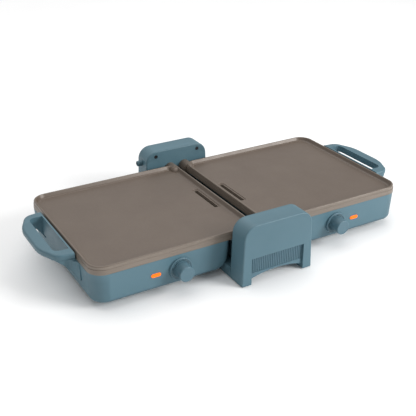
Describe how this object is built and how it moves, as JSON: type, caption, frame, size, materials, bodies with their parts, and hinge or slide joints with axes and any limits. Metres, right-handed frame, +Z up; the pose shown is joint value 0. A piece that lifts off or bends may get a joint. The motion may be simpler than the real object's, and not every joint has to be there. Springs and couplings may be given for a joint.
{
  "type": "electric griddle",
  "caption": "Fold-up electric griddle: mirrored cooking plates on casings with dials and side handles, hinged on a central stand over a drip tray.",
  "frame": {"origin": "on the table under the middle of the stand, at the bottom centre of the overall box", "axes": "+X towards the right-hand plate, -Y towards the dials and the drip tray front, +Z up"},
  "size_m": [0.652, 0.3616, 0.1005],
  "materials": {
    "nonstick_plate": "satin non-stick coating on cast aluminium",
    "blue_shell": "fine satin moulding",
    "blue_knob": "fine satin moulding",
    "lamp_orange": "lit translucent orange lens",
    "bright_steel": "turned or pressed steel",
    "black_screw": "blackened steel",
    "black_rubber": "matte",
    "shield_aluminium": "mill finish",
    "element_sheath": "dark oxidised sheath",
    "bronze": "sintered bronze",
    "terminal_ceramic": "unglazed",
    "thermostat_body": "brown phenolic",
    "lamp_glass": "neon envelope",
    "lead_sleeve": "braided glass-fibre sleeve",
    "tray_plastic": "fine satin moulding"
  },
  "bodies": {
    "stand": {"stand_base": "blue_shell", "front_hinge_housing": "blue_shell", "front_hinge_cover": "blue_shell", "rear_hinge_housing": "blue_shell", "rear_hinge_cover": "blue_shell", "pivot_bushes": "bronze", "housing_screws": "black_screw", "base_screws": "bright_steel", "stand_feet": "black_rubber", "mains_terminal_block": "terminal_ceramic", "cord_gland": "blue_shell"},
    "left_half": {"left_plate": "nonstick_plate", "left_casing": "blue_shell", "left_handle": "blue_shell", "left_heating_element": "element_sheath", "left_element_clips": "bright_steel", "left_heat_shield": "shield_aluminium", "left_thermostat": "thermostat_body", "left_thermostat_bracket": "bright_steel", "left_dial_ring": "blue_knob", "left_lamp_lens": "lamp_orange", "left_lamp": "lamp_glass", "left_casing_screws": "bright_steel", "left_handle_screws": "bright_steel", "left_feet": "black_rubber", "left_hinge_pins": "bright_steel", "left_hinge_clips": "bright_steel", "left_terminal_block": "terminal_ceramic", "left_lead": "lead_sleeve"},
    "right_half": {"right_plate": "nonstick_plate", "right_casing": "blue_shell", "right_handle": "blue_shell", "right_heating_element": "element_sheath", "right_element_clips": "bright_steel", "right_heat_shield": "shield_aluminium", "right_thermostat": "thermostat_body", "right_thermostat_bracket": "bright_steel", "right_dial_ring": "blue_knob", "right_lamp_lens": "lamp_orange", "right_lamp": "lamp_glass", "right_casing_screws": "bright_steel", "right_handle_screws": "bright_steel", "right_feet": "black_rubber", "right_hinge_pins": "bright_steel", "right_hinge_clips": "bright_steel", "right_terminal_block": "terminal_ceramic", "right_lead": "lead_sleeve"},
    "left_knob": {"left_knob": "blue_knob", "left_spindle": "bright_steel"},
    "right_knob": {"right_knob": "blue_knob", "right_spindle": "bright_steel"},
    "drip_tray": {"drip_tray": "tray_plastic", "drip_tray_front": "tray_plastic", "drip_tray_screws": "bright_steel"}
  },
  "joints": [
    {"name": "left_fold", "type": "hinge", "parent": "stand", "child": "left_half", "pos_m": [-0.0145, 0, 0.0638], "axis": [0, 1, 0], "range_deg": [0, 90]},
    {"name": "right_fold", "type": "hinge", "parent": "stand", "child": "right_half", "pos_m": [0.0145, 0, 0.0638], "axis": [0, -1, 0], "range_deg": [0, 90]},
    {"name": "left_dial", "type": "hinge", "parent": "left_half", "child": "left_knob", "pos_m": [-0.144, -0.15, 0.0365], "axis": [0, 1, 0], "range_deg": [0, 270]},
    {"name": "right_dial", "type": "hinge", "parent": "right_half", "child": "right_knob", "pos_m": [0.144, -0.15, 0.0365], "axis": [0, 1, 0], "range_deg": [0, 270]},
    {"name": "drip_tray_slide", "type": "slide", "parent": "stand", "child": "drip_tray", "axis": [0, -1, 0], "range_m": [0, 0.25]}
  ]
}
